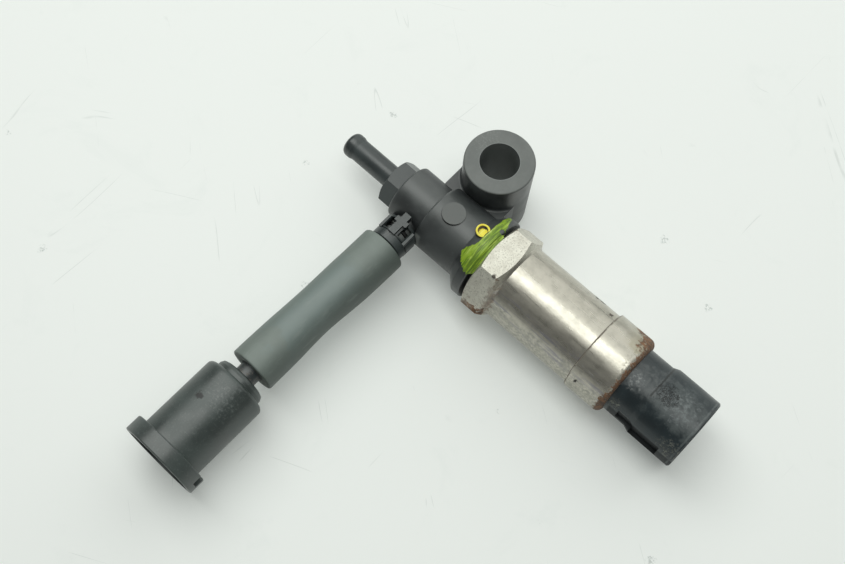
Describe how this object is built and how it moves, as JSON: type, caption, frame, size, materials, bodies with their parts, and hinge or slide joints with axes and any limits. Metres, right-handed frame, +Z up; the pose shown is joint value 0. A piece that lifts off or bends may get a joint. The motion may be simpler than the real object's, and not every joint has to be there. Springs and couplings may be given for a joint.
{
  "type": "solenoid fuel injector",
  "caption": "Solenoid dosing injector: plated steel coil housing with round bayonet connector, in a moulded manifold with mounting boss, hose nipple and a short hose ending in a coupling cup.",
  "frame": {"origin": "on the axis of the mounting boss bore, at the height of the main axis", "axes": "+Z up along the boss bore, +X along the main axis from the inlet nipple to the electrical connector, the hose branch leaves towards -Y"},
  "size_m": [0.1363, 0.14, 0.029],
  "materials": {
    "manifold_plastic": "satin black glass-filled nylon",
    "nipple_plastic": "smooth satin black plastic",
    "connector_plastic": "worn satin black plastic",
    "cup_plastic": "matt black plastic, dusty",
    "hose_rubber": "matt grey rubber",
    "seal_rubber": "matt black rubber",
    "plated_steel": "nickel-plated steel, weathered",
    "crimped_steel": "nickel-plated steel with rust at the rolled edge",
    "magnetic_steel": "ground soft magnetic steel",
    "stainless_steel": "ground stainless steel",
    "spring_steel": "bright spring wire",
    "brass_metal": "turned brass",
    "sintered_bronze": "porous sintered bronze",
    "copper_winding": "enamelled copper wire",
    "bobbin_plastic": "natural moulded plastic",
    "carrier_plastic": "satin black plastic",
    "contact_metal": "tin-plated brass"
  },
  "bodies": {
    "manifold": {"branch_connector": "nipple_plastic", "branch_o_ring": "seal_rubber", "coil_bobbin": "bobbin_plastic", "coil_winding": "copper_winding", "connector_housing": "connector_plastic", "connector_seal": "seal_rubber", "contact_pin_left": "contact_metal", "contact_pin_right": "contact_metal", "crimp_sleeve": "crimped_steel", "cup_o_ring": "seal_rubber", "cup_spigot": "nipple_plastic", "face_seal": "seal_rubber", "feed_tube": "brass_metal", "feed_tube_o_ring": "seal_rubber", "front_flux_washer": "magnetic_steel", "guide_tube": "stainless_steel", "housing_o_ring": "seal_rubber", "inlet_filter": "sintered_bronze", "inlet_nipple": "nipple_plastic", "inlet_nipple_o_ring": "seal_rubber", "manifold_body": "manifold_plastic", "needle_guide": "brass_metal", "pole_core": "magnetic_steel", "rear_flux_washer": "magnetic_steel", "return_spring": "spring_steel", "rubber_hose": "hose_rubber", "solenoid_housing": "plated_steel", "spring_adjuster": "brass_metal", "terminal_carrier": "carrier_plastic", "valve_seat": "stainless_steel"},
    "valve": {"armature": "magnetic_steel", "valve_needle": "stainless_steel"},
    "cup": {"coupling_cup": "cup_plastic", "cup_neck_ring": "cup_plastic", "cup_seal": "seal_rubber"}
  },
  "joints": [
    {"name": "armature_slide", "type": "slide", "parent": "manifold", "child": "valve", "axis": [1, 0, 0], "range_m": [0, 0.0006], "stiffness_N_per_m": 2500, "springref_m": -0.002, "deforming": ["return_spring"]},
    {"name": "cup_swivel", "type": "hinge", "parent": "manifold", "child": "cup", "pos_m": [-0.0113, -0.1004, 0], "axis": [0, -1, 0], "continuous": true}
  ]
}
